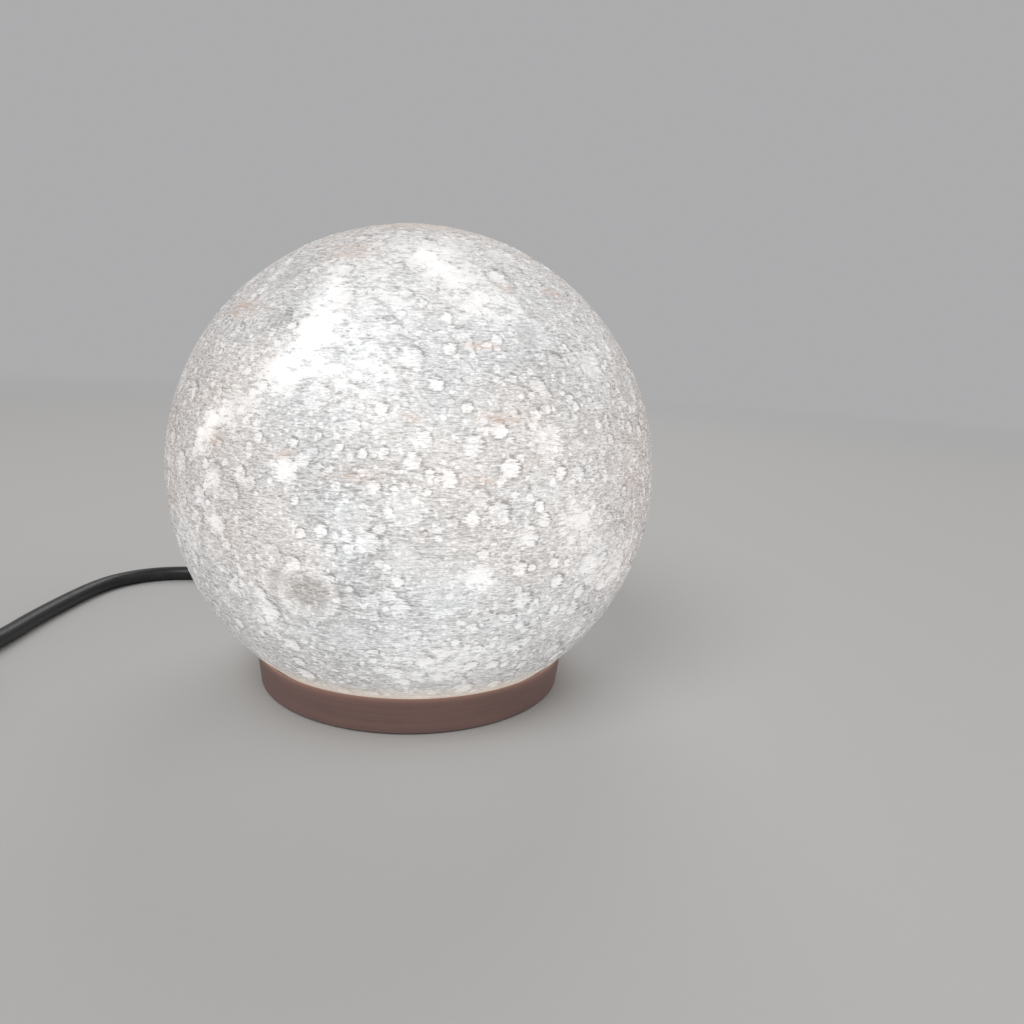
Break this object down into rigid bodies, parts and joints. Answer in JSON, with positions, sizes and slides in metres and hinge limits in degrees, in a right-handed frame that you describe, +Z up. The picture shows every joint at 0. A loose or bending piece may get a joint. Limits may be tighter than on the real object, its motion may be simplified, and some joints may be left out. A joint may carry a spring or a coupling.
{
  "type": "moon lamp",
  "caption": "Lit moon globe with craters, resting on a low round base with a lamp holder and bulb inside, on a mains lead with a rocker switch and a flat plug.",
  "frame": {"origin": "centre of the base, on the surface that the rubber feet stand on", "axes": "+Z up; the picture looks along +Y, and the lead leaves the base at the back left, towards (-0.6, 0.8)"},
  "size_m": [0.3275, 0.221, 0.1426],
  "materials": {
    "moon_white": "printed translucent shell, lit from inside",
    "base_brown": "printed, with fine layer lines",
    "rubber_black": "matt rubber",
    "lead_black": "soft sheen",
    "core_brown": "soft insulation",
    "core_blue": "soft insulation",
    "screw_steel": "zinc plated",
    "brass": "stamped strip",
    "holder_white": "moulded, satin",
    "tin_plate": "tinned",
    "insulator_black": "glossy",
    "cap_metal": "plated, rolled thread",
    "bulb_white": "moulded, satin",
    "board_green": "circuit board",
    "board_white": "white enamel on aluminium",
    "led_yellow": "phosphor",
    "frosted_ball": "frosted",
    "switch_black": "moulded, satin",
    "rocker_black": "moulded, gloss",
    "plug_black": "overmoulded",
    "pin_metal": "nickel plated"
  },
  "bodies": {
    "base": {"base_tray": "base_brown", "rubber_feet": "rubber_black", "cord_grommet": "rubber_black", "lead_in": "lead_black", "clamp_bar": "base_brown", "clamp_screws": "screw_steel", "wire_live": "core_brown", "wire_neutral": "core_blue", "holder_body": "holder_white", "holder_screws": "screw_steel", "live_contact": "brass", "neutral_contact": "brass", "screw_shell": "brass", "terminal_screws": "screw_steel", "lamp_lead": "lead_black", "switch_bottom": "switch_black", "switch_top": "switch_black", "switch_screws": "screw_steel", "switch_contacts": "brass", "coil_lead": "lead_black", "cord_coil": "lead_black", "plug_lead": "lead_black", "plug_body": "plug_black", "plug_pins": "pin_metal", "pin_sleeves": "plug_black"},
    "globe": {"moon_globe": "moon_white"},
    "bulb_tip": {"bulb_contact": "tin_plate", "bulb_insulator": "insulator_black"},
    "bulb": {"bulb_cap": "cap_metal", "bulb_housing": "bulb_white", "driver_board": "board_green", "led_board": "board_white", "leds": "led_yellow", "bulb_diffuser": "frosted_ball"},
    "rocker": {"switch_rocker": "rocker_black"}
  },
  "joints": [
    {"name": "globe_lift", "type": "slide", "parent": "base", "child": "globe", "axis": [0, 0, 1], "range_m": [0, 0.1]},
    {"name": "bulb_rise", "type": "slide", "parent": "base", "child": "bulb_tip", "axis": [0, 0, 1], "range_m": [0, 0.0085]},
    {"name": "bulb_turn", "type": "hinge", "parent": "bulb_tip", "child": "bulb", "pos_m": [0, 0, 0.03], "axis": [0, 0, 1], "range_deg": [0, 1080]},
    {"name": "rocker_toggle", "type": "hinge", "parent": "base", "child": "rocker", "pos_m": [-0.143, -0.051, 0.0112], "axis": [1, 0, 0], "range_deg": [-14, 0]}
  ],
  "couplings": [
    {"joint": "bulb_rise", "follows": "bulb_turn", "m_per_rad": 0.00044882}
  ]
}
